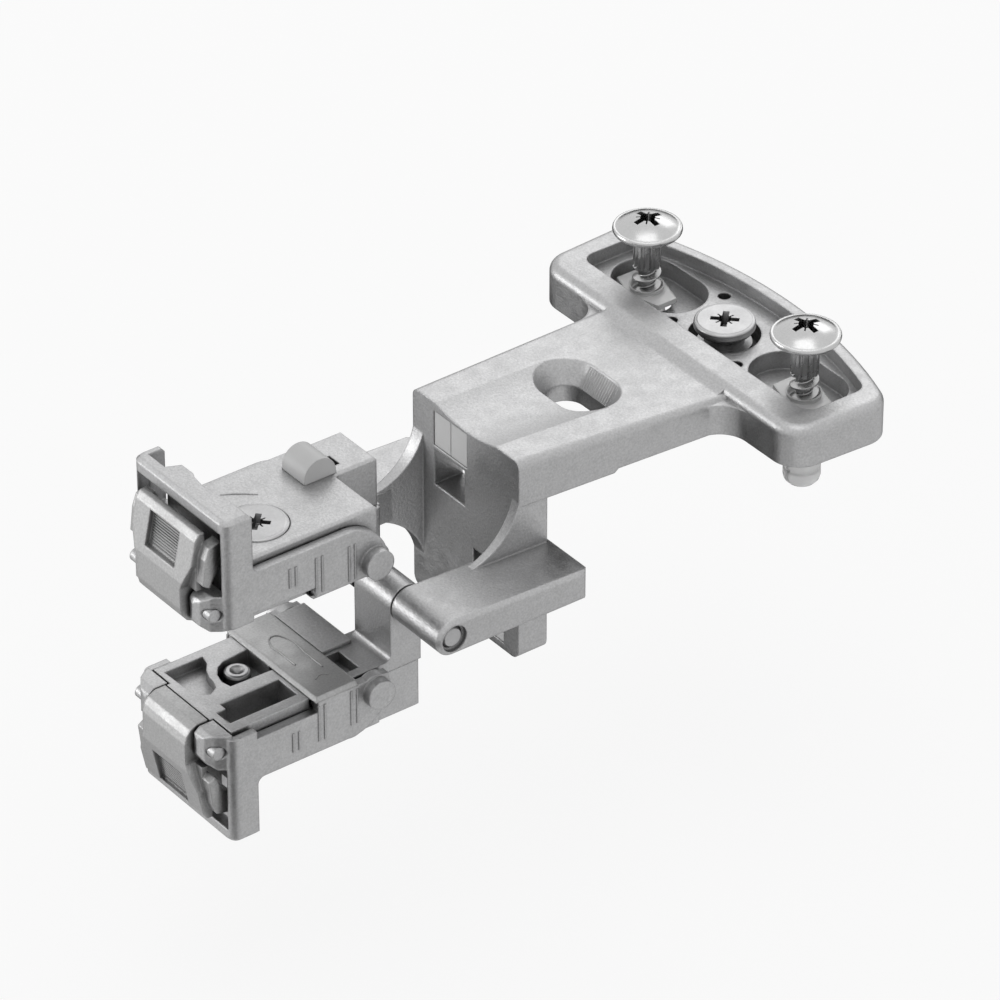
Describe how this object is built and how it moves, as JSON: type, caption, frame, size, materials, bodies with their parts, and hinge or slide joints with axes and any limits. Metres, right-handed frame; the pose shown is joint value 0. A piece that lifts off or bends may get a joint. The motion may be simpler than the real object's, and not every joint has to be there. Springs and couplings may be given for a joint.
{
  "type": "concealed folding door hinge",
  "caption": "Concealed centre hinge for folding doors: T shaped flange bracket with a cross pin and clip-on arms that fold about it.",
  "frame": {"origin": "midway between the two flange screws, on the seating face of the flange", "axes": "+X from the clip arms to the rear edge of the flange, +Y along the row of the flange screws, +Z out of the flange on the side of the screw heads"},
  "size_m": [0.0986, 0.0534, 0.0474],
  "materials": {
    "satin_casting": "satin",
    "housing_casting": "satin",
    "frame_casting": "satin",
    "cover_steel": "satin",
    "latch_steel": "satin",
    "pin_steel": "satin",
    "screw_steel": "polished",
    "clear_plastic": "gloss",
    "white_bumper": "matte",
    "grey_pad": "matte"
  },
  "bodies": {
    "bracket": {"t_bracket": "satin_casting", "far_wall_pad": "grey_pad", "near_wall_pad": "grey_pad", "far_foot_pad": "grey_pad", "near_foot_pad": "grey_pad", "hinge_pin": "pin_steel", "near_flange_screw": "screw_steel", "far_flange_screw": "screw_steel", "near_dowel": "clear_plastic", "far_dowel": "clear_plastic"},
    "middle_cam": {"flange_cam": "pin_steel"},
    "upper_arm": {"upper_link": "satin_casting", "upper_housing": "housing_casting", "upper_bumper": "white_bumper", "upper_cover_plate": "cover_steel", "upper_frame": "frame_casting", "upper_latch_pin": "pin_steel"},
    "upper_latch": {"upper_latch_lever": "latch_steel"},
    "upper_cam": {"upper_adjusting_cam": "pin_steel"},
    "lower_arm": {"lower_link": "satin_casting", "lower_housing": "housing_casting", "lower_bumper": "white_bumper", "lower_cover_plate": "cover_steel", "lower_frame": "frame_casting", "lower_latch_pin": "pin_steel"},
    "lower_latch": {"lower_latch_lever": "latch_steel"},
    "lower_cam": {"lower_adjusting_cam": "pin_steel"}
  },
  "joints": [
    {"name": "upper_fold", "type": "hinge", "parent": "bracket", "child": "upper_arm", "pos_m": [-0.0572, -0.0013, -0.0089], "axis": [0, 1, 0], "range_deg": [0, 70]},
    {"name": "upper_latch_press", "type": "hinge", "parent": "upper_arm", "child": "upper_latch", "pos_m": [-0.086, -0.0013, 0.0013], "axis": [0, 1, 0], "range_deg": [0, 8], "stiffness_Nm_per_rad": 0.05, "springref_deg": -2.86},
    {"name": "upper_cam_turn", "type": "hinge", "parent": "upper_arm", "child": "upper_cam", "pos_m": [-0.0756, -0.0038, 0.0074], "axis": [0, 0, 1], "continuous": true},
    {"name": "lower_fold", "type": "hinge", "parent": "bracket", "child": "lower_arm", "pos_m": [-0.0572, -0.0013, -0.0089], "axis": [0, -1, 0], "range_deg": [0, 70]},
    {"name": "lower_latch_press", "type": "hinge", "parent": "lower_arm", "child": "lower_latch", "pos_m": [-0.086, -0.0013, -0.0191], "axis": [0, -1, 0], "range_deg": [0, 8], "stiffness_Nm_per_rad": 0.05, "springref_deg": -2.86},
    {"name": "lower_cam_turn", "type": "hinge", "parent": "lower_arm", "child": "lower_cam", "pos_m": [-0.0756, 0.0012, -0.0252], "axis": [0, 0, -1], "continuous": true},
    {"name": "middle_cam_turn", "type": "hinge", "parent": "bracket", "child": "middle_cam", "pos_m": [0, 0, 0.005], "axis": [0, 0, 1], "continuous": true}
  ]
}
